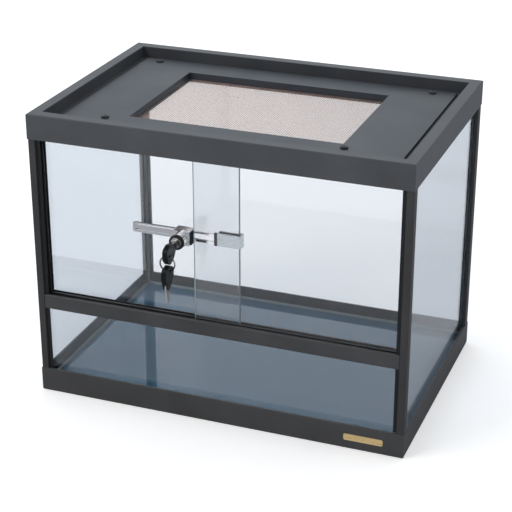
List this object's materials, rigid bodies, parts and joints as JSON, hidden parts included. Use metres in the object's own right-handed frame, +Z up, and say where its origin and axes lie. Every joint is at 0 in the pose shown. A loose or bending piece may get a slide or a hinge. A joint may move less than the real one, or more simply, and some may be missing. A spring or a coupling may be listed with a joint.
{
  "type": "pet cage",
  "caption": "Glass pet cage in a black plastic frame with a screened top, a fixed lower pane and overlapping sliding front doors held by a ratchet bar lock with folding keys.",
  "frame": {"origin": "centre of the cage's footprint, on the underside of the base frame", "axes": "+X along the front towards the right, +Y from the front to the back, +Z up"},
  "size_m": [0.45, 0.3512, 0.35],
  "materials": {
    "base_black": "satin moulded plastic",
    "post_black": "satin extruded plastic",
    "top_black": "satin moulded plastic",
    "rail_black": "satin extruded plastic",
    "track_black": "matt extruded plastic",
    "jamb_black": "matt flexible plastic",
    "panel_black": "satin moulded plastic",
    "clear_glass": "polished float glass",
    "door_glass": "polished float glass, ground edges",
    "floor_glass": "polished float glass",
    "silicone": "translucent silicone",
    "mesh_wire": "woven wire, coppery",
    "black_screw": "black oxide",
    "gold_plate": "brushed gold",
    "lock_chrome": "polished chrome",
    "plug_steel": "bright steel",
    "pawl_brass": "machined brass",
    "key_steel": "nickel-plated",
    "key_black": "gloss moulded plastic",
    "black_rubber": "matt rubber"
  },
  "bodies": {
    "cage": {"base_frame": "base_black", "floor_glass": "floor_glass", "front_left_post": "post_black", "front_right_post": "post_black", "rear_left_post": "post_black", "rear_right_post": "post_black", "left_glass": "clear_glass", "right_glass": "clear_glass", "rear_glass": "clear_glass", "lower_front_glass": "clear_glass", "middle_rail": "rail_black", "lower_track": "track_black", "upper_track": "track_black", "left_jamb": "jamb_black", "right_jamb": "jamb_black", "floor_seal": "silicone", "corner_seals": "silicone", "top_frame": "top_black", "vent_panel": "panel_black", "vent_mesh": "mesh_wire", "mesh_retainer": "track_black", "vent_screws": "black_screw", "badge_plate": "gold_plate"},
    "inner_door": {"inner_door": "door_glass", "lock_bar": "lock_chrome", "bar_liner": "black_rubber"},
    "outer_door": {"outer_door": "door_glass"},
    "lock_body": {"lock_housing": "lock_chrome", "lock_collar": "black_rubber", "lock_pad": "black_rubber", "pawl_spring": "plug_steel"},
    "lock_plug": {"lock_plug": "plug_steel"},
    "pawl": {"lock_pawl": "pawl_brass"},
    "key": {"key_blade": "key_steel", "key_pin": "plug_steel"},
    "key_head": {"key_head": "key_black"},
    "key_ring": {"key_ring": "lock_chrome"},
    "spare_key": {"spare_head": "key_black", "spare_pin": "plug_steel"},
    "spare_blade": {"spare_blade": "key_steel"}
  },
  "joints": [
    {"name": "inner_door_slide", "type": "slide", "parent": "cage", "child": "inner_door", "axis": [1, 0, 0], "range_m": [0, 0.18]},
    {"name": "outer_door_slide", "type": "slide", "parent": "cage", "child": "outer_door", "axis": [-1, 0, 0], "range_m": [0, 0.16]},
    {"name": "lock_slide", "type": "slide", "parent": "outer_door", "child": "lock_body", "axis": [1, 0, 0], "range_m": [-0.076, 0]},
    {"name": "plug_turn", "type": "hinge", "parent": "lock_body", "child": "lock_plug", "pos_m": [-0.0381, -0.15, 0.2285], "axis": [0, 1, 0], "range_deg": [0, 90]},
    {"name": "pawl_engage", "type": "slide", "parent": "lock_body", "child": "pawl", "axis": [0, 1, 0], "range_m": [0, 0.001], "deforming": ["pawl_spring"]},
    {"name": "key_withdraw", "type": "slide", "parent": "lock_plug", "child": "key", "axis": [0, -1, 0], "range_m": [0, 0.016]},
    {"name": "key_head_fold", "type": "hinge", "parent": "key", "child": "key_head", "pos_m": [-0.0381, -0.1733, 0.2285], "axis": [-1, 0, 0], "range_deg": [-20, 20]},
    {"name": "key_ring_swing", "type": "hinge", "parent": "key_head", "child": "key_ring", "pos_m": [-0.0381, -0.18965, 0.22255], "axis": [-1, 0, 0], "range_deg": [-10, 60]},
    {"name": "spare_key_swing", "type": "hinge", "parent": "key_ring", "child": "spare_key", "pos_m": [-0.0381, -0.18965, 0.20435], "axis": [-1, 0, 0], "range_deg": [-10, 42]},
    {"name": "spare_key_fold", "type": "hinge", "parent": "spare_key", "child": "spare_blade", "pos_m": [-0.0381, -0.19327, 0.18733], "axis": [1, 0, 0], "range_deg": [-22, 66]}
  ],
  "couplings": [
    {"joint": "pawl_engage", "follows": "plug_turn", "m_per_rad": 0.00063662}
  ]
}
